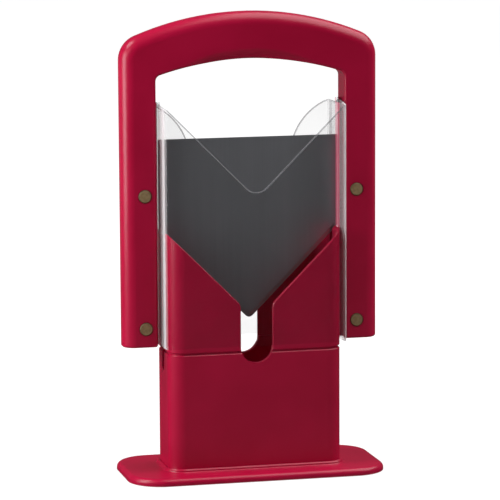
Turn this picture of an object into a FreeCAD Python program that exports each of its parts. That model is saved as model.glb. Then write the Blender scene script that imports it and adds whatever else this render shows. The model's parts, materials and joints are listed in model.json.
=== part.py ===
import FreeCAD, Part
import math
import os

# Guillotine cutter for round rolls: a stand with a split cradle, and a blade frame that slides on it.
# All sizes are millimetres. X runs across the blade, Y from front (-) to back (+), Z up.
# The origin is the centre of the underside, on the surface that the rubber feet stand on.
# The blade frame is modelled part way up its travel.

V = FreeCAD.Vector
X_AXIS = V(1, 0, 0)
Y_AXIS = V(0, 1, 0)
Z_AXIS = V(0, 0, 1)
SIDES = (-1, 1)

# Cutting tools reach this far past the surface that they open.
over = 1.0
# Two places closer than this count as the same.
touch = 1e-6

# Foot plate
foot_width = 203.0
foot_depth = 96.0
foot_corner_radius = 27.0
foot_top = 6.0
foot_skin = 2.4
foot_rim = 2.6
foot_edge_radius = 4.0
rib_thickness = 1.8

# Collar of the foot plate around the column, and locating ring inside it
collar_width = 2.4
collar_height = 2.6
collar_edge_bevel = 0.8
collar_foot_radius = 1.6
ring_height = 5.0
ring_thickness = 2.4
ring_boss_gap = 0.3

# Rubber feet
pad_radius = 6.5
pad_stand = 0.5
pad_chamfer = 0.4
pad_inset_x = 22.0
pad_inset_y = 19.0
pad_clearance = 0.3
pad_ring_wall = 2.0

# Column and cradle
column_half_width = 68.6
column_half_depth = 26.1
column_corner_radius = 12.0
wall = 2.6
column_top = 97.2
seam_gap = 1.4
seam_recess = 1.2
lip_bevel = 0.7
spigot_clearance = 0.15
spigot_wall = 2.0

# Openings of the cradle, measured from the top of the column
v_apex_rise = 25.1
notch_drop = 8.2
notch_half_width = 12.6
notch_shoulder_radius = 8.0
side_slot_drop = 15.6
side_slot_width = 7.0
rim_bevel = 0.6

# Trough inside the cradle, measured from the top of the column
trough_floor_drop = 17.2
trough_floor_half = 23.0
trough_thickness = 2.4
trough_slot_half = 1.8

# Screws of the stand
ledge_thickness = 3.0
ledge_margin = 1.5
screw_shank_radius = 1.4
thread_clearance = 0.05
screw_head_radius = 3.2
screw_head_height = 2.0
screw_head_chamfer = 0.6
screw_hole_clearance = 0.3
screw_end_gap = 2.0
post_radius = 3.8
post_x = 54.0
boss_radius = 4.0
boss_x = 36.0
boss_height = 16.0
boss_sink = 0.6
pilot_depth = 12.0

# Guards
guard_wall = 1.9
guard_side_clearance = 1.1
guard_front_clearance = 0.6
guard_lift = 5.6
guard_height = 187.7
guard_top_fall = 4.0
guard_bend_radius = 4.3
guard_fold_radius = 1.5
flange_thickness = 2.0
flange_clearance = 0.2
front_v_drop = 73.1
front_v_radius = 11.0
rear_lobe_radius = 48.0
rear_lobe_centre_x = 88.0
rear_lobe_drop = 48.9
rear_v_drop = 116.5
rear_v_radius = 14.0
band_height = 10.5
band_half_width = 60.0
band_thickness = 0.5
band_edge_radius = 0.45

# Handle
leg_gap = 2.8
leg_width = 26.8
leg_overhang = 0.8
flange_inset = 9.2
handle_depth = 22.0
handle_height = 256.9
crossbar_height = 36.1
arch_radius = 235.0
shoulder_radius = 20.0
opening_corner_radius = 5.0
grip_edge_radius = 9.6
hollow_bevel = 5.0
inner_edge_radius = 2.0
end_edge_radius = 1.8
handle_wall = 2.4
handle_rib_thickness = 1.6
crossbar_rib_x = 24.0
leg_rib_rises = (45.0, 80.0, 160.0, 196.0)

# Finger scoop on the lower edge of the crossbar, which fades out to both sides
scoop_radius = 9.0
scoop_rise = 8.7
scoop_arc_radius = 125.0
scoop_half_angle = 33.0

# Locating pins of the handle
pin_radius = 1.6
pin_length = 5.0
pin_clearance = 0.1
pin_end_gap = 0.5
pin_boss_radius = 4.5
pin_spread = 48.0

# Blade
blade_edge_inset = 0.4
blade_thickness = 1.2
blade_top_drop = 28.9
blade_length = 140.6
blade_tip_radius = 4.0
blade_corner_radius = 1.5
blade_pocket_clearance = 0.05
blade_pocket_run = 6.0
bevel_width = 3.0
bevel_share = 0.8

# Rivets of the handle, with heights from the lower ends of its legs
rivet_inset = 9.4
rivet_rises = (14.6, 117.4)
rivet_head_radius = 4.9
rivet_head_height = 1.4
rivet_head_chamfer = 0.3
rivet_recess_depth = 0.9
rivet_recess_gap = 0.6
barrel_radius = 3.0
barrel_bore_clearance = 0.1
barrel_end_y = 6.0
stud_radius = 1.7
stud_length = 8.0
rivet_boss_radius = 6.0

# Places in the stand that follow from the sizes above
foot_underside = pad_stand
skin_underside = foot_top - foot_skin
pad_x = foot_width / 2 - pad_inset_x
pad_y = foot_depth / 2 - pad_inset_y
cradle_bottom = column_top + seam_gap
v_apex_height = column_top + v_apex_rise
ear_blank = v_apex_height + column_half_width + 2 * over
trough_floor = column_top - trough_floor_drop
trough_underside = trough_floor - trough_thickness
trough_apex = trough_floor - trough_floor_half
ledge_top = trough_underside
ledge_bottom = ledge_top - ledge_thickness
inner_half_width = column_half_width - wall
inner_half_depth = column_half_depth - wall
inner_corner_radius = column_corner_radius - wall
post_y = inner_half_depth - spigot_clearance - spigot_wall - post_radius + boss_sink
boss_y = inner_half_depth - boss_radius + boss_sink

# Places in the blade frame that follow from the sizes above
guard_half_width = column_half_width + guard_side_clearance + guard_wall
guard_reach = column_half_depth + guard_front_clearance + guard_wall
guard_bottom = column_top + guard_lift
guard_top = guard_bottom + guard_height
band_top = guard_bottom + band_height
front_v_apex = guard_top - front_v_drop
rear_v_apex = guard_top - rear_v_drop
rear_lobe_centre_z = guard_top - rear_lobe_drop
half_handle = handle_depth / 2
handle_bottom = guard_bottom - leg_overhang
handle_top = handle_bottom + handle_height
opening_half_width = guard_half_width + leg_gap
handle_half_width = opening_half_width + leg_width
opening_top = handle_top - crossbar_height
arch_centre = handle_top - arch_radius
flange_half_width = handle_half_width - flange_inset
blade_half_width = guard_half_width - blade_edge_inset
blade_top = guard_top - blade_top_drop
blade_tip = blade_top - blade_length
blade_apex = blade_tip - blade_tip_radius * (math.sqrt(2) - 1)
pocket_half_width = blade_half_width + blade_pocket_clearance
pocket_depth = blade_thickness / 2 + blade_pocket_clearance
rivet_x = opening_half_width + rivet_inset
rivet_heights = [handle_bottom + rise for rise in rivet_rises]


def box(x0, x1, y0, y1, z0, z1):
    """A box between two corners, given in any order."""
    low = V(min(x0, x1), min(y0, y1), min(z0, z1))
    return Part.makeBox(abs(x1 - x0), abs(y1 - y0), abs(z1 - z0), low)


def upright(radius, x, y, z0, z1):
    """A round bar along Z."""
    return Part.makeCylinder(radius, z1 - z0, V(x, y, z0), Z_AXIS)


def lying(radius, x, y0, y1, z):
    """A round bar along Y."""
    return Part.makeCylinder(radius, y1 - y0, V(x, y0, z), Y_AXIS)


def rounded_block(half_x, half_y, radius, z0, z1):
    """An upright block whose four vertical edges are rounded."""
    block = box(-half_x, half_x, -half_y, half_y, z0, z1)
    corners = [e for e in block.Edges if abs(e.Vertexes[0].Z - e.Vertexes[-1].Z) > touch]
    return block.makeFillet(radius, corners)


def prism(points, y0, y1):
    """A flat outline in X and Z, thickened from y0 to y1."""
    loop = [V(x, y0, z) for x, z in points]
    face = Part.Face(Part.makePolygon(loop + loop[:1]))
    return face.extrude(V(0, y1 - y0, 0))


def middle_of(edge):
    """The point half way along an edge."""
    return edge.valueAt((edge.FirstParameter + edge.LastParameter) / 2)


def round_edges_at(shape, radius, test):
    """Rounds the edges whose middle point passes the test."""
    return shape.makeFillet(radius, [e for e in shape.Edges if test(middle_of(e), e)])


def bevel_edges_at(shape, size, test):
    """Cuts the edges whose middle point passes the test off at a slant."""
    return shape.makeChamfer(size, [e for e in shape.Edges if test(middle_of(e), e)])


def mirrored_y(shape):
    """The same shape on the other side of the blade."""
    return shape.mirror(V(0, 0, 0), Y_AXIS)


def keep_side(shape, side, start=0.0):
    """The part of a shape that lies beyond start on the front (-1) or back (+1) side."""
    reach = foot_width
    return shape.common(box(-reach, reach, side * start, side * reach, -reach, handle_top + reach))


def tidy(shape):
    """One clean solid, without the seams that joining leaves."""
    clean = shape.removeSplitter()
    return clean.Solids[0] if len(clean.Solids) == 1 else clean


def notch_cutter():
    """The opening of the cradle's front and rear walls: a round-bottomed slot that widens to a V."""
    reach_x = column_half_width + 5 * over
    ramp_end = v_apex_height + reach_x
    high = ramp_end + 20 * over
    slot_end = v_apex_height + notch_half_width
    low = column_top - notch_drop + notch_half_width
    outline = [
        (-notch_half_width, low), (notch_half_width, low), (notch_half_width, slot_end),
        (reach_x, ramp_end), (reach_x, high), (-reach_x, high),
        (-reach_x, ramp_end), (-notch_half_width, slot_end),
    ]
    cutter = prism(outline, -foot_depth, foot_depth)
    cutter = round_edges_at(
        cutter, notch_shoulder_radius,
        lambda p, e: abs(abs(p.x) - notch_half_width) < touch and abs(p.z - slot_end) < touch)
    return cutter.fuse(lying(notch_half_width, 0, -foot_depth, foot_depth, low))


def side_slot_cutter():
    """The slot that the blade's edges pass through, in both side walls, with a round bottom."""
    half = side_slot_width / 2
    low = column_top - side_slot_drop + half
    reach = column_half_width + 10 * over
    bar = Part.makeCylinder(half, 2 * reach, V(-reach, 0, low), X_AXIS)
    return bar.fuse(box(-reach, reach, -half, half, low, handle_top))


def screw(x, y, head_z, tip_z):
    """A pan-head screw that stands upright, with its head at the bottom."""
    head = upright(screw_head_radius, x, y, head_z, head_z + screw_head_height)
    head = bevel_edges_at(head, screw_head_chamfer, lambda p, e: p.z < head_z + touch)
    shank = upright(screw_shank_radius, x, y, head_z + screw_head_height, tip_z)
    return tidy(head.fuse(shank))


def make_foot_plate():
    """The flat base: a shallow tray with ribs below, a collar around the column and a ring inside it."""
    half_x, half_y = foot_width / 2, foot_depth / 2
    collar_top = foot_top + collar_height
    plate = rounded_block(half_x, half_y, foot_corner_radius, foot_underside, foot_top)
    plate = round_edges_at(plate, foot_edge_radius, lambda p, e: p.z > foot_top - touch)

    # The collar closes the joint around the foot of the column and runs out softly on the plate.
    collar = rounded_block(column_half_width + collar_width, column_half_depth + collar_width,
                           column_corner_radius + collar_width, foot_top - foot_skin / 2, collar_top)
    plate = tidy(plate.fuse(collar))
    plate = round_edges_at(
        plate, collar_foot_radius,
        lambda p, e: abs(p.z - foot_top) < touch and abs(p.x) < column_half_width + 2 * collar_width
        and abs(p.y) < column_half_depth + 2 * collar_width)
    plate = bevel_edges_at(plate, collar_edge_bevel, lambda p, e: p.z > collar_top - touch)
    fit = spigot_clearance
    seat = rounded_block(column_half_width + fit, column_half_depth + fit, column_corner_radius + fit,
                         foot_top, collar_top + over)
    plate = plate.cut(seat)

    hollow = rounded_block(half_x - foot_rim, half_y - foot_rim, foot_corner_radius - foot_rim,
                           foot_underside - over, skin_underside)
    plate = plate.cut(hollow)

    # Ribs run both ways under the skin, clear of the rubber feet.
    half_rib = rib_thickness / 2
    for side in SIDES:
        y = side * boss_y
        plate = plate.fuse(box(-half_x + over, half_x - over, y - half_rib, y + half_rib,
                               foot_underside, skin_underside))
    for x in (-column_half_width, -boss_x, boss_x, column_half_width):
        plate = plate.fuse(box(x - half_rib, x + half_rib, -half_y + over, half_y - over,
                               foot_underside, skin_underside))

    # The locating ring stands inside the column and leaves room for its screw bosses.
    ring = rounded_block(inner_half_width - fit, inner_half_depth - fit, inner_corner_radius - fit,
                         foot_top, foot_top + ring_height)
    inside = fit + ring_thickness
    ring = ring.cut(rounded_block(inner_half_width - inside, inner_half_depth - inside,
                                  inner_corner_radius - inside, foot_top - over,
                                  foot_top + ring_height + over))

    for side_x in SIDES:
        for side_y in SIDES:
            x, y = side_x * pad_x, side_y * pad_y
            socket = upright(pad_radius + pad_clearance + pad_ring_wall, x, y, foot_underside,
                             skin_underside)
            plate = plate.fuse(socket)
            plate = plate.cut(upright(pad_radius + pad_clearance, x, y, 0, skin_underside))
            x, y = side_x * boss_x, side_y * boss_y
            ring = ring.cut(upright(boss_radius + ring_boss_gap, x, y, foot_top - over,
                                    foot_top + ring_height + over))
            plate = plate.fuse(upright(screw_head_radius + foot_rim, x, y, foot_underside,
                                       skin_underside))
            plate = plate.cut(upright(screw_head_radius + screw_hole_clearance, x, y, 0,
                                      foot_underside + screw_head_height))
            plate = plate.cut(upright(screw_shank_radius + screw_hole_clearance, x, y, 0,
                                      foot_top + over))
    return tidy(plate.fuse(ring))


def make_rubber_foot(side_x, side_y):
    """A round pad, pressed up into its socket under the foot plate."""
    pad = upright(pad_radius, side_x * pad_x, side_y * pad_y, 0, skin_underside)
    return bevel_edges_at(pad, pad_chamfer, lambda p, e: p.z < touch)


def make_column():
    """The lower tube of the stand, open at both ends, with screw bosses and ledges inside."""
    tube = rounded_block(column_half_width, column_half_depth, column_corner_radius, foot_top, column_top)
    tube = bevel_edges_at(tube, lip_bevel, lambda p, e: p.z > column_top - touch)
    bore = rounded_block(inner_half_width, inner_half_depth, inner_corner_radius, 0, column_top + over)
    tube = tube.cut(bore)
    root = wall / 5
    inside = rounded_block(inner_half_width + root, inner_half_depth + root, inner_corner_radius + root,
                           foot_top, column_top)

    ledge_reach = post_radius + ledge_margin
    for side_x in SIDES:
        for side_y in SIDES:
            # A ledge in each corner carries the cradle, which is screwed down to it.
            x, y = side_x * post_x, side_y * post_y
            near_x = x - side_x * ledge_reach
            near_y = y - side_y * ledge_reach
            ledge = box(near_x, side_x * column_half_width, near_y, side_y * column_half_depth,
                        ledge_bottom, ledge_top)
            tube = tube.fuse(ledge.common(inside))
            tube = tube.cut(upright(screw_shank_radius + screw_hole_clearance, x, y,
                                    ledge_bottom - over, ledge_top + over))
            # A boss beside each long wall takes a screw from under the foot plate.
            x, y = side_x * boss_x, side_y * boss_y
            boss = upright(boss_radius, x, y, foot_top, foot_top + boss_height)
            tube = tube.fuse(boss.common(inside))
            tube = tube.cut(upright(screw_shank_radius + thread_clearance, x, y,
                                    foot_top - over, foot_top + pilot_depth))
    tube = tube.cut(notch_cutter())
    tube = tube.cut(side_slot_cutter())
    return tidy(tube)


def trough_solid():
    """The trough that the roll rests in, as wide as the cradle and not yet cut to its depth."""
    reach = column_half_width
    drop = trough_thickness * math.sqrt(2)
    under_apex = trough_apex - drop
    under_half = trough_underside - under_apex
    top = [(-reach, trough_apex + reach), (-trough_floor_half, trough_floor),
           (trough_floor_half, trough_floor), (reach, trough_apex + reach)]
    under = [(reach, under_apex + reach), (under_half, trough_underside),
             (-under_half, trough_underside), (-reach, under_apex + reach)]
    return prism(top + under, -column_half_depth, column_half_depth)


def make_front_cradle():
    """The front half of the cradle: outer wall, trough, and the skirt and posts inside the column."""
    shell = rounded_block(column_half_width, column_half_depth, column_corner_radius,
                          cradle_bottom, ear_blank)
    shell = bevel_edges_at(shell, lip_bevel, lambda p, e: p.z < cradle_bottom + touch)
    neck = rounded_block(column_half_width - seam_recess, column_half_depth - seam_recess,
                         column_corner_radius - seam_recess, column_top, cradle_bottom + 2 * over)
    fit = spigot_clearance
    skirt = rounded_block(inner_half_width - fit, inner_half_depth - fit, inner_corner_radius - fit,
                          trough_underside, cradle_bottom + 2 * over)
    shell = shell.fuse(neck).fuse(skirt)
    inset = fit + spigot_wall
    bore = rounded_block(inner_half_width - inset, inner_half_depth - inset,
                         inner_corner_radius - inset, 0, ear_blank + over)
    wide_bore = rounded_block(inner_half_width, inner_half_depth, inner_corner_radius,
                              cradle_bottom + 3 * over, ear_blank + over)
    shell = shell.cut(bore).cut(wide_bore)
    shell = shell.cut(notch_cutter())
    shell = keep_side(shell, -1, side_slot_width / 2)

    # The rim of the opening is bevelled on its outer edge, and the bevel runs on round the corner.
    outer = -column_half_depth
    flat_half = column_half_width - column_corner_radius
    shell = bevel_edges_at(
        shell, rim_bevel,
        lambda p, e: abs(p.y - outer) < touch and p.z > cradle_bottom + 5 * over
        and abs(p.x) < flat_half - 0.1)

    root = spigot_wall / 4
    inside_low = rounded_block(inner_half_width - fit - root, inner_half_depth - fit - root,
                               inner_corner_radius - fit - root, 0, cradle_bottom)
    inside_high = rounded_block(inner_half_width + root, inner_half_depth + root,
                                inner_corner_radius + root, cradle_bottom, ear_blank)
    trough = trough_solid().common(inside_low.fuse(inside_high))
    shell = shell.fuse(keep_side(trough, -1, trough_slot_half))

    for side in SIDES:
        x = side * post_x
        post = upright(post_radius, x, -post_y, trough_underside, cradle_bottom)
        shell = shell.fuse(post.common(inside_low))
        shell = shell.cut(upright(screw_shank_radius + thread_clearance, x, -post_y,
                                  trough_underside - over, trough_underside + pilot_depth))
    return tidy(shell)


def make_foot_screw(side_x, side_y):
    """Holds the column to the foot plate, from below."""
    return screw(side_x * boss_x, side_y * boss_y, foot_underside,
                 foot_top + pilot_depth - screw_end_gap)


def make_cradle_screw(side_x, side_y):
    """Holds a cradle half down on the column's ledge, from below."""
    return screw(side_x * post_x, side_y * post_y, ledge_bottom - screw_head_height,
                 ledge_top + pilot_depth - screw_end_gap)


def handle_face(inset):
    """The outline of the handle in X and Z, drawn in by an even amount."""
    out_x = handle_half_width - inset
    in_x = opening_half_width + inset
    low = handle_bottom + inset
    top = handle_top - inset
    under = opening_top + inset
    outer_r = arch_radius - inset
    inner_r = arch_radius + inset
    inner_centre = opening_top - arch_radius
    bend = shoulder_radius - inset

    # The shoulder's circle touches the leg's side and the arch.
    centre_x = out_x - bend
    centre_z = arch_centre + math.sqrt((outer_r - bend) ** 2 - centre_x ** 2)
    lean = math.atan2(centre_x, centre_z - arch_centre)
    touch_x = outer_r * math.sin(lean)
    touch_z = arch_centre + outer_r * math.cos(lean)
    middle = (math.pi / 2 - lean) / 2
    mid_x = centre_x + bend * math.cos(middle)
    mid_z = centre_z + bend * math.sin(middle)
    corner_z = inner_centre + math.sqrt(inner_r ** 2 - in_x ** 2)

    def arc(a, b, c):
        return Part.Arc(V(*a), V(*b), V(*c)).toShape()

    def line(a, b):
        return Part.LineSegment(V(*a), V(*b)).toShape()

    edges = [
        line((-out_x, 0, low), (-out_x, 0, centre_z)),
        arc((-out_x, 0, centre_z), (-mid_x, 0, mid_z), (-touch_x, 0, touch_z)),
        arc((-touch_x, 0, touch_z), (0, 0, top), (touch_x, 0, touch_z)),
        arc((touch_x, 0, touch_z), (mid_x, 0, mid_z), (out_x, 0, centre_z)),
        line((out_x, 0, centre_z), (out_x, 0, low)),
        line((out_x, 0, low), (in_x, 0, low)),
        line((in_x, 0, low), (in_x, 0, corner_z)),
        arc((in_x, 0, corner_z), (0, 0, under), (-in_x, 0, corner_z)),
        line((-in_x, 0, corner_z), (-in_x, 0, low)),
        line((-in_x, 0, low), (-out_x, 0, low)),
    ]
    return Part.Face(Part.Wire(edges))


def finger_scoop(inset):
    """What the scoop takes off the front lower edge of the crossbar, drawn in by an even amount."""
    radius = scoop_radius - inset
    centre_z = opening_top + scoop_rise
    centre_y = scoop_radius - half_handle
    slant = radius * math.sqrt(0.5)
    far = radius + over
    start = V(0, centre_y - radius, centre_z)
    end = V(0, centre_y, centre_z - radius)
    curve = Part.Arc(start, V(0, centre_y - slant, centre_z - slant), end).toShape()
    corners = [end, V(0, centre_y, centre_z - far), V(0, centre_y - far, centre_z - far),
               V(0, centre_y - far, centre_z), start]
    profile = Part.Face(Part.Wire([curve] + Part.makePolygon(corners).Edges))
    pivot = V(0, 0, centre_z - scoop_arc_radius)
    profile.rotate(pivot, Y_AXIS, -scoop_half_angle)
    return profile.revolve(pivot, Y_AXIS, 2 * scoop_half_angle)


def handle_block(inset):
    """Half of the handle as a solid block, or the hollow inside it when drawn in by an even amount."""
    depth = half_handle - inset
    low = handle_bottom + inset
    in_x = opening_half_width + inset
    block = handle_face(inset).extrude(V(0, -depth, 0))
    block = round_edges_at(
        block, opening_corner_radius + inset,
        lambda p, e: abs(abs(p.x) - in_x) < touch and p.z > opening_top - crossbar_height
        and abs(e.Vertexes[0].Y - e.Vertexes[-1].Y) > touch)

    def on_front(p):
        return abs(p.y + depth) < touch and p.z > low + over

    def is_outer(p):
        beyond = math.hypot(p.x, p.z - arch_centre) > arch_radius - crossbar_height / 2
        return abs(p.x) > handle_half_width - inset - over or (p.z > opening_top and beyond)

    if inset > 0:
        block = bevel_edges_at(block, hollow_bevel, lambda p, e: on_front(p) and is_outer(p))
        return block.cut(finger_scoop(inset))
    block = round_edges_at(block, grip_edge_radius, lambda p, e: on_front(p) and is_outer(p))
    block = round_edges_at(block, inner_edge_radius, lambda p, e: on_front(p) and not is_outer(p)
                           and abs(p.x) < in_x + touch)
    block = round_edges_at(block, end_edge_radius, lambda p, e: abs(p.z - low) < touch and p.y < -touch)
    return block.cut(finger_scoop(inset))


def pin_places():
    """Where the locating pins of the handle's shells stand along the crossbar."""
    for x in (-pin_spread, 0, pin_spread):
        yield x, arch_centre + math.sqrt(arch_radius ** 2 - x ** 2) - crossbar_height / 2


def make_handle_half():
    """The front shell of the handle: hollow, with ribs, and bosses for the rivets and pins."""
    shell = handle_block(0)
    body = shell.cut(handle_block(handle_wall))

    front = -half_handle
    root = front + handle_wall / 2
    half_rib = handle_rib_thickness / 2
    for side in SIDES:
        for z in rivet_heights:
            boss = lying(rivet_boss_radius, side * rivet_x, root, -flange_thickness, z)
            body = body.fuse(boss.common(shell))
        x = side * crossbar_rib_x
        rib = box(x - half_rib, x + half_rib, root, -flange_thickness, opening_top - crossbar_height,
                  handle_top)
        body = body.fuse(rib.common(shell))
        for rise in leg_rib_rises:
            z = handle_bottom + rise
            rib = box(side * opening_half_width, side * handle_half_width, root, -flange_thickness,
                      z - half_rib, z + half_rib)
            body = body.fuse(rib.common(shell))
    for x, z in pin_places():
        body = body.fuse(lying(pin_boss_radius, x, root, 0, z).common(shell))

    # The flanges of the guards slide in between the two shells from below.
    for side in SIDES:
        body = body.cut(box(side * (opening_half_width - over),
                            side * (flange_half_width + flange_clearance),
                            -flange_thickness, over, handle_bottom - over, guard_top + flange_clearance))
        for z in rivet_heights:
            x = side * rivet_x
            recess = lying(rivet_head_radius + rivet_recess_gap, x, front - over,
                           front + rivet_recess_depth, z)
            body = body.cut(recess)
            body = body.cut(lying(barrel_radius + barrel_bore_clearance, x, front - over, over, z))
    return body


def make_handle_front():
    """The front shell, with sockets for the rear shell's pins."""
    body = make_handle_half()
    for x, z in pin_places():
        body = body.cut(lying(pin_radius + pin_clearance, x, -pin_length - pin_end_gap, over, z))
    return tidy(body)


def make_handle_rear():
    """The rear shell, with the locating pins."""
    body = mirrored_y(make_handle_half())
    for x, z in pin_places():
        body = body.fuse(lying(pin_radius, x, -pin_length, over, z))
    return tidy(body)


def make_blade():
    """A flat plate with a V-shaped cutting edge, ground on both faces, and a rounded tip."""
    shoulder = blade_apex + blade_half_width
    half = blade_thickness / 2
    outline = [(-blade_half_width, blade_top), (-blade_half_width, shoulder), (0, blade_apex),
               (blade_half_width, shoulder), (blade_half_width, blade_top)]
    plate = prism(outline, -half, half)
    plate = round_edges_at(plate, blade_tip_radius,
                           lambda p, e: abs(p.x) < touch and p.z < blade_apex + touch)
    plate = round_edges_at(plate, blade_corner_radius,
                           lambda p, e: abs(p.y) < touch and p.z > blade_top - touch
                           and abs(p.x) > blade_half_width - touch)

    # Each ground face is a thin wedge cut away along one side of the V.
    rise = half * bevel_share
    reach = 1.5 * blade_half_width
    for side_y in SIDES:
        for side_x in SIDES:
            y = side_y * half
            outside, deep = y + side_y * over, y - side_y * rise
            wedge = Part.Face(Part.makePolygon([
                V(0, outside, -over), V(0, deep, -over), V(0, deep, 0),
                V(0, y, bevel_width), V(0, outside, bevel_width), V(0, outside, -over)]))
            cutter = wedge.extrude(V(side_x * reach, 0, 0))
            cutter.rotate(V(0, 0, 0), Y_AXIS, -side_x * 45)
            cutter.translate(V(0, 0, blade_apex))
            plate = plate.cut(cutter)
    return tidy(plate)


def guard_blank():
    """The bent sheet of the front guard before it is trimmed: panel, side walls and flanges."""
    outer = rounded_block(guard_half_width, guard_reach, guard_bend_radius, guard_bottom, guard_top)
    inner = rounded_block(guard_half_width - guard_wall, guard_reach - guard_wall,
                          guard_bend_radius - guard_wall, guard_bottom - over, guard_top + over)
    blank = keep_side(outer.cut(inner), -1)
    for side in SIDES:
        blank = blank.fuse(box(side * (guard_half_width - guard_wall), side * flange_half_width,
                               -flange_thickness, 0, guard_bottom, guard_top))
    blank = round_edges_at(
        tidy(blank), guard_fold_radius,
        lambda p, e: abs(abs(p.x) - guard_half_width) < touch and abs(p.y + flange_thickness) < touch)

    for side in SIDES:
        # The edge of the blade lies in a shallow pocket, closed at the top and along the shoulder.
        blank = blank.cut(box(side * (guard_half_width - guard_wall - over), side * pocket_half_width,
                              -pocket_depth, over, blade_tip + blade_half_width - blade_pocket_run,
                              blade_top + blade_pocket_clearance))
        for z in rivet_heights:
            blank = blank.cut(lying(barrel_radius + barrel_bore_clearance, side * rivet_x,
                                    -flange_thickness - over, over, z))
    return blank


def slope_tops(blank):
    """The side walls lose a little height from the blade out to the panel."""
    far = guard_reach + 2 * over
    fall = guard_top_fall * (far - flange_thickness) / (guard_reach - flange_thickness)
    high = guard_top + 5 * over
    side_view = Part.makePolygon([
        V(-foot_width, -flange_thickness, guard_top), V(-foot_width, -far, guard_top - fall),
        V(-foot_width, -far, high), V(-foot_width, -flange_thickness, high),
        V(-foot_width, -flange_thickness, guard_top)])
    return blank.cut(Part.Face(side_view).extrude(V(2 * foot_width, 0, 0)))


def make_front_guard():
    """The clear front guard: V opening at the top, and a raised band along the bottom edge."""
    guard = slope_tops(guard_blank())
    reach = guard_half_width + over / 5
    high = guard_top + 5 * over
    cutter = prism([(0, front_v_apex), (reach, front_v_apex + reach), (reach, high), (-reach, high),
                    (-reach, front_v_apex + reach)],
                   -guard_reach - 2 * over, -flange_thickness - over / 2)
    cutter = round_edges_at(cutter, front_v_radius,
                            lambda p, e: abs(p.x) < touch and p.z < front_v_apex + touch)
    guard = guard.cut(cutter)
    front = -guard_reach - band_thickness
    band = box(-band_half_width, band_half_width, front, -guard_reach + band_thickness,
               guard_bottom, band_top)
    band = round_edges_at(band, band_edge_radius, lambda p, e: abs(p.y - front) < touch)
    return tidy(guard.fuse(band))


def make_rear_guard():
    """The clear rear guard: a deeper opening at the top, between two rounded lobes."""
    guard = slope_tops(guard_blank())
    high = guard_top + 5 * over
    reach = guard_half_width + over / 5
    r = rear_lobe_radius
    cx, cz = rear_lobe_centre_x, rear_lobe_centre_z
    top_z = cz + math.sqrt(r ** 2 - (cx - reach) ** 2)
    low_x = cx - r
    mid = math.radians(125)
    mid_x, mid_z = cx + r * math.cos(mid), cz + r * math.sin(mid)
    y0 = -guard_reach - 2 * over
    foot_z = rear_v_apex + low_x

    def line(a, b):
        return Part.LineSegment(V(a[0], y0, a[1]), V(b[0], y0, b[1])).toShape()

    def lobe(side):
        return Part.Arc(V(side * low_x, y0, cz), V(side * mid_x, y0, mid_z),
                        V(side * reach, y0, top_z)).toShape()

    edges = [
        line((0, rear_v_apex), (low_x, foot_z)), line((low_x, foot_z), (low_x, cz)), lobe(1),
        line((reach, top_z), (reach, high)), line((reach, high), (-reach, high)),
        line((-reach, high), (-reach, top_z)), lobe(-1),
        line((-low_x, cz), (-low_x, foot_z)), line((-low_x, foot_z), (0, rear_v_apex)),
    ]
    face = Part.Face(Part.Wire(Part.__sortEdges__(edges)))
    cutter = face.extrude(V(0, -y0 - flange_thickness - over / 2, 0))
    cutter = round_edges_at(
        cutter, rear_v_radius,
        lambda p, e: abs(p.x) < touch and abs(p.z - rear_v_apex) < touch)
    return tidy(mirrored_y(guard.cut(cutter)))


def make_rivet_post(side, z):
    """The front half of a rivet: flat head and hollow barrel."""
    x = side * rivet_x
    seat = -half_handle + rivet_recess_depth
    face = seat - rivet_head_height
    head = lying(rivet_head_radius, x, face, seat, z)
    head = bevel_edges_at(head, rivet_head_chamfer, lambda p, e: p.y < face + touch)
    post = head.fuse(lying(barrel_radius, x, seat, barrel_end_y, z))
    bore = lying(stud_radius + thread_clearance, x, barrel_end_y - stud_length - over,
                 barrel_end_y + over, z)
    return tidy(post.cut(bore))


def make_rivet_screw(side, z):
    """The rear half of a rivet: flat head and a stud that screws into the barrel."""
    x = side * rivet_x
    seat = half_handle - rivet_recess_depth
    face = seat + rivet_head_height
    head = lying(rivet_head_radius, x, seat, face, z)
    head = bevel_edges_at(head, rivet_head_chamfer, lambda p, e: p.y > face - touch)
    stud = lying(stud_radius, x, barrel_end_y - stud_length, seat, z)
    return tidy(head.fuse(stud))


def all_parts():
    """Every sub-part of the cutter, by name."""
    parts = {
        "foot_plate": make_foot_plate(),
        "column": make_column(),
        "front_cradle": make_front_cradle(),
        "handle_front": make_handle_front(),
        "handle_rear": make_handle_rear(),
        "blade": make_blade(),
        "front_guard": make_front_guard(),
        "rear_guard": make_rear_guard(),
    }
    parts["rear_cradle"] = mirrored_y(parts["front_cradle"])
    side_names = {-1: "left", 1: "right"}
    end_names = {-1: "front", 1: "rear"}
    level_names = ("lower", "upper")
    for side_x in SIDES:
        for side_y in SIDES:
            corner = end_names[side_y] + "_" + side_names[side_x]
            parts["rubber_foot_" + corner] = make_rubber_foot(side_x, side_y)
            parts["foot_screw_" + corner] = make_foot_screw(side_x, side_y)
            parts["cradle_screw_" + corner] = make_cradle_screw(side_x, side_y)
        for level, z in zip(level_names, rivet_heights):
            place = side_names[side_x] + "_" + level
            parts["rivet_post_" + place] = make_rivet_post(side_x, z)
            parts["rivet_screw_" + place] = make_rivet_screw(side_x, z)
    return parts


os.makedirs("parts", exist_ok=True)
for name, shape in sorted(all_parts().items()):
    shape.exportStep(os.path.join("parts", name + ".step"))
    print(name, "solids", len(shape.Solids), "valid", shape.isValid(), "volume", round(shape.Volume))
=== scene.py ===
import json
import math

import bpy
from mathutils import Matrix, Vector

# Looks of the bagel cutter. Metres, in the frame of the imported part: X across, Y to the back, Z up.

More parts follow.
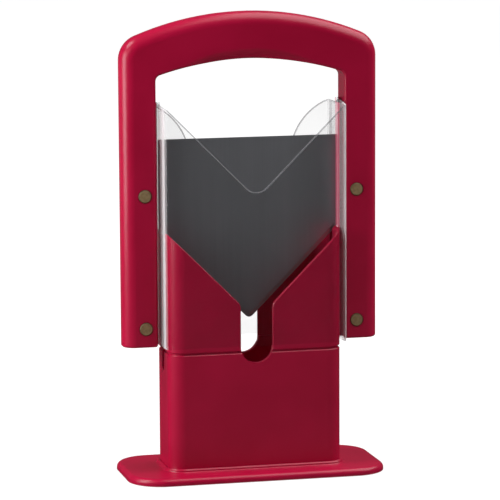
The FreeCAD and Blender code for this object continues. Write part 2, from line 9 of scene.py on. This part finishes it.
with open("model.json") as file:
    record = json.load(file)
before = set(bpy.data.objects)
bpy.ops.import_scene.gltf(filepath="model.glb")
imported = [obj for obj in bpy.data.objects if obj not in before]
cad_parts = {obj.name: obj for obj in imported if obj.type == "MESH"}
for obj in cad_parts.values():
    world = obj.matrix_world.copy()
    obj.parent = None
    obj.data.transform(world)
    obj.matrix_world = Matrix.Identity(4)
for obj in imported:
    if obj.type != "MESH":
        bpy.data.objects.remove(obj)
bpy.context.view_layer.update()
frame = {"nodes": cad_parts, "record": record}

MM = 0.001

# Places on the object that a pattern follows
BLADE_APEX = 119.34 * MM
BEVEL_WIDTH = 3.0 * MM
RIVET_X = 83.8 * MM
RIVET_HEIGHTS = (116.6 * MM, 219.4 * MM)
RIVET_HEAD_RADIUS = 4.9 * MM
FRONT_V_CENTRE = 232.96 * MM
FRONT_V_RADIUS = 11.0 * MM
REAR_V_APEX = 174.0 * MM
REAR_OPENING_X = 40.0 * MM
REAR_LOBE_CENTRE = (88.0 * MM, 241.6 * MM)
REAR_LOBE_RADIUS = 48.0 * MM
CUT_WIDTH = 1.1 * MM
BEND_X = 70.2 * MM
BEND_REACH = 17.0 * MM
GLOW_REACH = -13.0 * MM
FLANGE_X = 71.9 * MM
WALL_X = 69.5 * MM
SCREW_PLACES = ((36.0 * MM, 20.1 * MM), (54.0 * MM, 18.15 * MM))
CROSS_LENGTH = 1.9 * MM
CROSS_WIDTH = 0.5 * MM

# View of the photograph
CAMERA_AZIMUTH = math.radians(-13.5)
CAMERA_ELEVATION = math.radians(8.4)
CAMERA_ROLL = math.radians(-0.31)
CAMERA_DISTANCE = 2.3968
CAMERA_TARGET = Vector((1.04 * MM, 0.0, 173.33 * MM))
CAMERA_LENS = 222.5

# Light levels. One is the level at which a colour renders as it is written.
ROOM_LEVEL = 0.02
GLOSS_FRONT = 0.01
GLOSS_BACK = 0.10
FLOOR_GLOSS_BACK = 0.20
GLOSS_REACH = (0.25, 1.3)
SEEN_LEVEL = 1.0
SIDE_LEVEL = 1.15
KEY_LEVEL = 0.06
HIGH_LEVEL = 0.45
TOP_LEVEL = 1.50

# The floor's own brightness to the camera, near the object and far from it
FLOOR_NEAR = 0.70
FLOOR_FAR = 1.0
FLOOR_REACH = (0.25, 1.1)


class Field:
    """A value that changes over a surface. Python's operators on it add Math nodes."""

    def __init__(self, finish, socket):
        self.finish = finish
        self.socket = socket

    def math(self, operation, *values):
        return self.finish.node("ShaderNodeMath", {"operation": operation}, dict(enumerate(values)))

    def __add__(self, other):
        return self.math("ADD", self, other)

    def __radd__(self, other):
        return self.math("ADD", other, self)

    def __sub__(self, other):
        return self.math("SUBTRACT", self, other)

    def __rsub__(self, other):
        return self.math("SUBTRACT", other, self)

    def __mul__(self, other):
        return self.math("MULTIPLY", self, other)

    def __rmul__(self, other):
        return self.math("MULTIPLY", other, self)

    def __truediv__(self, other):
        return self.math("DIVIDE", self, other)

    def __pow__(self, other):
        return self.math("POWER", self, other)

    def __abs__(self):
        return self.math("ABSOLUTE", self)

    def least(self, other):
        return self.math("MINIMUM", self, other)

    def most(self, other):
        return self.math("MAXIMUM", self, other)

    def rising(self, low, high):
        """0 below low, 1 above high, and a smooth step between them."""
        return self.finish.node(
            "ShaderNodeMapRange", {"interpolation_type": "SMOOTHSTEP"},
            {"Value": self, "From Min": low, "From Max": high})

    def falling(self, low, high):
        return 1 - self.rising(low, high)


class Finish:
    """The nodes of one material, or of the world."""

    def __init__(self, owner):
        self.owner = owner
        owner.use_nodes = True
        self.tree = owner.node_tree
        self.tree.nodes.clear()
        self.place = self.node("ShaderNodeTexCoord", {}, {}, "Object")

    def node(self, kind, settings, inputs, output=0):
        """Adds a node, sets it, feeds its sockets, and returns one of its outputs."""
        made = self.tree.nodes.new(kind)
        for name, value in settings.items():
            setattr(made, name, value)
        for name, value in inputs.items():
            if isinstance(value, Field):
                self.tree.links.new(value.socket, made.inputs[name])
            else:
                made.inputs[name].default_value = value
        return None if output is None else Field(self, made.outputs[output])

    def axes(self, vector=None):
        """The X, Y and Z of a vector, by default of the place on the object."""
        source = self.place if vector is None else vector
        return [self.node("ShaderNodeSeparateXYZ", {}, {0: source}, axis) for axis in "XYZ"]

    def stretched(self, x, y, z):
        """The place on the object with each axis scaled, for grain and streaks."""
        return self.node("ShaderNodeVectorMath", {"operation": "MULTIPLY"}, {0: self.place, 1: (x, y, z)})

    def noise(self, vector, scale, detail=2.0, roughness=0.5):
        return self.node("ShaderNodeTexNoise", {}, {
            "Vector": vector, "Scale": scale, "Detail": detail, "Roughness": roughness})

    def colour_mix(self, amount, first, second):
        mix = self.tree.nodes.new("ShaderNodeMix")
        mix.data_type = "RGBA"
        sockets = {"Factor": mix.inputs[0], "A": mix.inputs[6], "B": mix.inputs[7]}
        for name, value in {"Factor": amount, "A": first, "B": second}.items():
            if isinstance(value, Field):
                self.tree.links.new(value.socket, sockets[name])
            else:
                sockets[name].default_value = value
        return Field(self, mix.outputs[2])

    def bumped(self, height, strength, distance):
        return self.node("ShaderNodeBump", {}, {
            "Height": height, "Strength": strength, "Distance": distance}, "Normal")

    def surface(self, **inputs):
        """Ends the material with one Principled shader."""
        names = {key.replace("_", " "): value for key, value in inputs.items()}
        shader = self.node("ShaderNodeBsdfPrincipled", {}, names, "BSDF")
        self.node("ShaderNodeOutputMaterial", {}, {"Surface": shader}, None)
        return self.owner


def srgb(red, green, blue, alpha=1.0):
    """A colour from its 0 to 255 screen values."""
    def linear(value):
        share = value / 255
        return share / 12.92 if share <= 0.04045 else ((share + 0.055) / 1.055) ** 2.4
    return (linear(red), linear(green), linear(blue), alpha)


def red_plastic():
    """Glossy moulded plastic with a faint cloud in its colour, fine orange peel and light rub marks."""
    finish = Finish(bpy.data.materials.new("red_plastic"))
    cloud = finish.noise(finish.place, 22.0, 3.0)
    peel = finish.noise(finish.place, 900.0, 1.0)
    rubs = finish.noise(finish.stretched(150.0, 150.0, 60.0), 1.0, 5.0, 0.7)
    worn = rubs.rising(0.70, 0.90)
    colour = finish.colour_mix(cloud.rising(0.3, 0.7), srgb(167, 7, 51), srgb(176, 9, 56))
    colour = finish.colour_mix(worn * 0.03, colour, srgb(205, 70, 95))
    return finish.surface(
        Base_Color=colour,
        Roughness=0.29 + 0.05 * cloud + 0.06 * worn,
        Specular_IOR_Level=0.32,
        Normal=finish.bumped(peel, 0.04, 0.05 * MM))


def front_cut(x, z):
    """How deep a place on the front guard lies behind the V edge, rounded at its apex."""
    straight = (FRONT_V_CENTRE - FRONT_V_RADIUS * math.sqrt(2) + abs(x) - z) * math.sqrt(0.5)
    rounded = (x * x + (z - FRONT_V_CENTRE) * (z - FRONT_V_CENTRE)) ** 0.5 - FRONT_V_RADIUS
    below = (abs(x) + z - FRONT_V_CENTRE).falling(-0.1 * MM, 0.1 * MM)
    return straight + below * (rounded - straight)


def rear_cut(x, z):
    """How deep a place on the rear guard lies behind its V, its upright edges and its lobes."""
    lobe_x, lobe_z = REAR_LOBE_CENTRE
    slope = (REAR_V_APEX + abs(x) - z) * math.sqrt(0.5)
    upright = abs(x) - REAR_OPENING_X
    from_centre = ((abs(x) - lobe_x) * (abs(x) - lobe_x) + (z - lobe_z) * (z - lobe_z)) ** 0.5
    lobe = REAR_LOBE_RADIUS - from_centre
    above = z.rising(lobe_z - 0.1 * MM, lobe_z + 0.1 * MM)
    return slope.most(upright + above * (lobe - upright))


def clear_plastic():
    """Clear sheet: nearly nothing face on. Its colour and alpha carry a painted pale reflection on the side
    walls, painted white highlights on the bends and cut edges, a painted pink glow inside the front side walls
    and a painted pink reflection on the flanges.
    """
    finish = Finish(bpy.data.materials.new("clear_plastic"))
    normal = finish.node("ShaderNodeTexCoord", {}, {}, "Normal")
    across, deep, high = finish.axes(normal)
    x, y, z = finish.axes()
    smear = finish.noise(finish.place, 30.0, 4.0, 0.6)
    specks = finish.noise(finish.place, 700.0, 2.0)
    slant = finish.node("ShaderNodeLayerWeight", {}, {"Blend": 0.5}, "Facing")
    at_rear = y.rising(-0.1 * MM, 0.1 * MM)
    depth = front_cut(x, z) + at_rear * (rear_cut(x, z) - front_cut(x, z))
    # Painted highlight: a pale band along the cut edges of the V, the uprights and the lobes.
    rim = abs(depth).falling(CUT_WIDTH - 0.3 * MM, CUT_WIDTH)
    outer = abs(x).rising(BEND_X - 0.8 * MM, BEND_X + 0.2 * MM)
    # Painted highlight: the outer bends of the sheet turn white where they are seen at a slant.
    bend_highlight = outer * abs(y).rising(BEND_REACH - 1.5 * MM, BEND_REACH + 1.5 * MM) * slant.rising(0.35, 0.75)
    # Painted reflection: the side walls turn pale where they are seen at a slant.
    wall_reflection = abs(x).rising(WALL_X - 0.3 * MM, WALL_X) * abs(across).rising(0.93, 0.99) * slant.rising(0.55, 0.8)
    haze = 0.06 + 0.01 * smear.rising(0.45, 0.65) + 0.03 * specks.rising(0.68, 0.75)
    # Painted light: a pink glow on the inner faces of the front side walls, standing in for the lit red leg
    # seen through them.
    inside = finish.node("ShaderNodeNewGeometry", {}, {}, "Backfacing")
    inward = (0 - across * x).rising(0.0, 30.0 * MM) * (1 - inside)
    glow = wall_reflection * inward * (1 - at_rear) * y.rising(GLOW_REACH - 2 * MM, GLOW_REACH + 2 * MM)
    # Painted reflection: the flanges in the leg slots are coloured pink and made nearly opaque, for the lit
    # red leg around them.
    flange_painted_pink = abs(x).rising(FLANGE_X, FLANGE_X + 0.5 * MM)
    # The painted highlight on the bends, the painted reflection on the side walls and the painted glow,
    # gathered into one paleness.
    pale = (bend_highlight * 0.75).most(wall_reflection * 0.32).most(glow * 0.70)
    # The colour holds painted highlights and reflections: grey on the cut edges, white on the bends and side
    # walls, a pink glow inside the front side walls, and pink on the flanges.
    colour = finish.colour_mix(rim, srgb(46, 46, 48), srgb(160, 160, 164))
    colour = finish.colour_mix((pale * 3.0).least(1.0), colour, srgb(232, 232, 234))
    colour = finish.colour_mix(glow, colour, srgb(232, 92, 126))
    colour = finish.colour_mix(flange_painted_pink, colour, srgb(176, 74, 94))
    # The alpha carries the painted highlights, reflection and glow on top of the haze.
    return finish.surface(
        Base_Color=colour,
        Roughness=0.08 + 0.10 * smear.rising(0.45, 0.7),
        # The painted pink glow is also emitted, so the sheet shines there though it is no lamp.
        Emission_Color=finish.colour_mix(glow, srgb(0, 0, 0), srgb(226, 84, 120)),
        Emission_Strength=0.35,
        Alpha=haze.most(pale).most(rim * 0.40).most(flange_painted_pink * 0.85))


def blade_steel():
    """Dark brushed steel, with two bright ground faces along the V."""
    finish = Finish(bpy.data.materials.new("blade_steel"))
    x, y, z = finish.axes()
    brushing = finish.noise(finish.stretched(1400.0, 60.0, 9.0), 1.0, 3.0, 0.6)
    bands = finish.noise(finish.stretched(55.0, 10.0, 1.2), 1.0, 2.0)
    depth = (z - abs(x) - BLADE_APEX) * math.sqrt(0.5)
    ground = depth.falling(BEVEL_WIDTH - 0.1 * MM, BEVEL_WIDTH + 0.1 * MM)
    grind = finish.noise(finish.stretched(900.0, 60.0, 900.0), 1.0, 2.0)
    tone = 0.35 * bands + 0.35 * brushing
    flat = finish.colour_mix(tone + 0.15, srgb(156, 158, 164), srgb(204, 206, 212))
    return finish.surface(
        Base_Color=finish.colour_mix(ground, flat, srgb(196, 197, 200)),
        Metallic=0.85,
        Roughness=0.40 + 0.10 * brushing - ground * (0.10 * grind),
        Normal=finish.bumped(brushing, 0.10, 0.02 * MM))


def rivet_brass():
    """Dull brass heads, turned, with painted shade darkening the edge of each head."""
    finish = Finish(bpy.data.materials.new("rivet_brass"))
    x, y, z = finish.axes()
    lower, upper = RIVET_HEIGHTS
    rise = abs(z - lower).least(abs(z - upper))
    across = abs(abs(x) - RIVET_X)
    radius = (rise * rise + across * across) ** 0.5
    # Painted shade: the edge of each head, where it sits down in its counterbore, is darkened.
    rim = radius.rising(RIVET_HEAD_RADIUS - 0.7 * MM, RIVET_HEAD_RADIUS - 0.3 * MM)
    tarnish = finish.noise(finish.place, 500.0, 3.0)
    turned = finish.noise(finish.stretched(1500.0, 400.0, 1500.0), 1.0, 2.0)
    colour = finish.colour_mix(tarnish.rising(0.35, 0.7), srgb(166, 139, 100), srgb(145, 120, 84))
    return finish.surface(
        Base_Color=finish.colour_mix(rim * 0.7, colour, srgb(84, 70, 46)),
        Metallic=0.35,
        Roughness=0.50 + 0.12 * tarnish,
        Normal=finish.bumped(turned, 0.08, 0.05 * MM))


def screw_steel():
    """Zinc-plated screws, with the cross in their heads painted on as dark shade."""
    finish = Finish(bpy.data.materials.new("screw_steel"))
    x, y, z = finish.axes()
    across, deep, high = finish.axes(finish.node("ShaderNodeTexCoord", {}, {}, "Normal"))
    plating = finish.noise(finish.place, 900.0, 3.0)
    # Painted shade: a dark cross on each head, with the metal taken off, standing in for the shade in a cross
    # slot.
    painted_cross_shade = 0.0
    for screw_x, screw_y in SCREW_PLACES:
        along = abs(abs(x) - screw_x)
        beside = abs(abs(y) - screw_y)
        arm = along.falling(CROSS_WIDTH, CROSS_WIDTH * 1.2) * beside.falling(CROSS_LENGTH, CROSS_LENGTH * 1.1)
        bar = beside.falling(CROSS_WIDTH, CROSS_WIDTH * 1.2) * along.falling(CROSS_LENGTH, CROSS_LENGTH * 1.1)
        painted_cross_shade = arm.most(bar).most(painted_cross_shade)
    painted_cross_shade = painted_cross_shade * high.falling(-0.95, -0.9)
    colour = finish.colour_mix(plating, srgb(186, 188, 190), srgb(150, 152, 156))
    return finish.surface(
        Base_Color=finish.colour_mix(painted_cross_shade, colour, srgb(30, 30, 32)),
        Metallic=1.0 - painted_cross_shade,
        Roughness=0.28 + 0.2 * plating,
        Normal=finish.bumped(plating, 0.06, 0.05 * MM))


def foot_rubber():
    """Matt rubber with a little dust."""
    finish = Finish(bpy.data.materials.new("foot_rubber"))
    grain = finish.noise(finish.place, 1500.0, 3.0)
    dust = finish.noise(finish.place, 160.0, 2.0)
    colour = finish.colour_mix(dust.rising(0.5, 0.8) * 0.5, srgb(34, 34, 36), srgb(78, 77, 75))
    return finish.surface(
        Base_Color=colour, Roughness=0.72 + 0.12 * grain,
        Normal=finish.bumped(grain, 0.25, 0.10 * MM))


def dress_nodes():
    """Gives each CAD node the material of its slot in the record."""
    makers = {
        "red_plastic": red_plastic, "clear_plastic": clear_plastic, "blade_steel": blade_steel,
        "rivet_brass": rivet_brass, "screw_steel": screw_steel, "foot_rubber": foot_rubber,
    }
    finishes = {slot: make() for slot, make in makers.items()}
    for entry in frame["record"]["subparts"]:
        mesh = frame["nodes"][entry["node"]].data
        mesh.materials.clear()
        mesh.materials.append(finishes[entry["material_slot"]])


def make_floor():
    """A wide pale floor. The camera sees it white, less the object's shadow, and white far off too."""
    bpy.ops.mesh.primitive_plane_add(size=40.0, location=(0.0, 0.0, 0.0))
    floor = bpy.context.object
    floor.name = "floor"
    finish = Finish(bpy.data.materials.new("floor_paint"))
    camera = finish.node("ShaderNodeLightPath", {}, {}, "Is Camera Ray")
    through = finish.node("ShaderNodeLightPath", {}, {}, "Is Transmission Ray")
    mirrored = finish.node("ShaderNodeLightPath", {}, {}, "Is Glossy Ray")
    x, y, z = finish.axes()
    reach = (x * x + y * y) ** 0.5
    grain = finish.noise(finish.place, 300.0, 2.0)
    glow = FLOOR_NEAR + (FLOOR_FAR - FLOOR_NEAR) * reach.rising(*FLOOR_REACH)
    gloss = GLOSS_FRONT + (FLOOR_GLOSS_BACK - GLOSS_FRONT) * y.rising(*GLOSS_REACH)
    paint = finish.colour_mix(grain, (0.34, 0.34, 0.34, 1), (0.36, 0.36, 0.36, 1))
    floor.data.materials.append(finish.surface(
        Base_Color=finish.colour_mix(mirrored, paint, (0.02, 0.02, 0.02, 1)),
        Roughness=0.9,
        Specular_IOR_Level=0.0,
        Emission_Color=glow * (camera + through) + gloss * mirrored,
        Emission_Strength=1.0))


def make_world():
    """Soft light from all round, white where the camera looks. Reflections see a bright back, a dark front."""
    world = bpy.data.worlds.new("studio")
    bpy.context.scene.world = world
    finish = Finish(world)
    camera = finish.node("ShaderNodeLightPath", {}, {}, "Is Camera Ray")
    through = finish.node("ShaderNodeLightPath", {}, {}, "Is Transmission Ray")
    mirrored = finish.node("ShaderNodeLightPath", {}, {}, "Is Glossy Ray")
    x, y, z = finish.axes(finish.node("ShaderNodeTexCoord", {}, {}, "Generated"))
    gloss = GLOSS_FRONT + (GLOSS_BACK - GLOSS_FRONT) * y.rising(0.0, 0.5)
    seen = camera.most(through)
    unseen = ROOM_LEVEL + mirrored * (gloss - ROOM_LEVEL)
    light = finish.node("ShaderNodeBackground", {}, {
        "Strength": unseen + seen * (SEEN_LEVEL - unseen)}, "Background")
    finish.node("ShaderNodeOutputWorld", {}, {"Surface": light}, None)


def soft_light(name, place, aim, width, height, level):
    """A softbox. Its power gives the level wanted at the place it is aimed at."""
    lamp = bpy.data.lights.new(name, "AREA")
    lamp.shape = "RECTANGLE"
    lamp.size = width
    lamp.size_y = height
    reach = (Vector(aim) - Vector(place)).length
    lamp.energy = level * math.pi ** 2 * reach ** 2
    holder = bpy.data.objects.new(name, lamp)
    bpy.context.scene.collection.objects.link(holder)
    holder.location = place
    holder.rotation_mode = "QUATERNION"
    holder.rotation_quaternion = (Vector(aim) - Vector(place)).to_track_quat("-Z", "Y")


def make_lights():
    """A softbox close by on the left, one in front, one high on the left and one high on the right."""
    middle = (0.0, 0.0, 0.17)
    soft_light("side_softbox", (-0.60, -0.10, 0.32), (-0.09, 0.0, 0.20), 0.30, 0.40, SIDE_LEVEL)
    soft_light("key_softbox", (-1.02, -0.80, 0.92), middle, 0.42, 0.42, KEY_LEVEL)
    soft_light("high_softbox", (-1.20, 0.10, 1.70), middle, 0.70, 0.70, HIGH_LEVEL)
    soft_light("top_softbox", (0.85, -0.15, 1.55), middle, 1.70, 1.70, TOP_LEVEL)


def make_camera():
    """The photograph's view, from the front left and a little above."""
    look = Vector((-math.sin(CAMERA_AZIMUTH) * math.cos(CAMERA_ELEVATION),
                   math.cos(CAMERA_AZIMUTH) * math.cos(CAMERA_ELEVATION),
                   -math.sin(CAMERA_ELEVATION)))
    level_right = look.cross(Vector((0, 0, 1))).normalized()
    level_up = level_right.cross(look)
    right = math.cos(CAMERA_ROLL) * level_right + math.sin(CAMERA_ROLL) * level_up
    up = math.cos(CAMERA_ROLL) * level_up - math.sin(CAMERA_ROLL) * level_right
    turn = Matrix((right, up, -look)).transposed()
    lens = bpy.data.cameras.new("photo_view")
    lens.lens = CAMERA_LENS
    lens.sensor_width = 36.0
    lens.clip_start = 0.1
    lens.clip_end = 60.0
    camera = bpy.data.objects.new("photo_view", lens)
    bpy.context.scene.collection.objects.link(camera)
    camera.matrix_world = Matrix.Translation(CAMERA_TARGET - CAMERA_DISTANCE * look) @ turn.to_4x4()
    bpy.context.scene.camera = camera


dress_nodes()
make_floor()
make_world()
make_lights()
make_camera()
bpy.context.scene.view_settings.view_transform = "Standard"
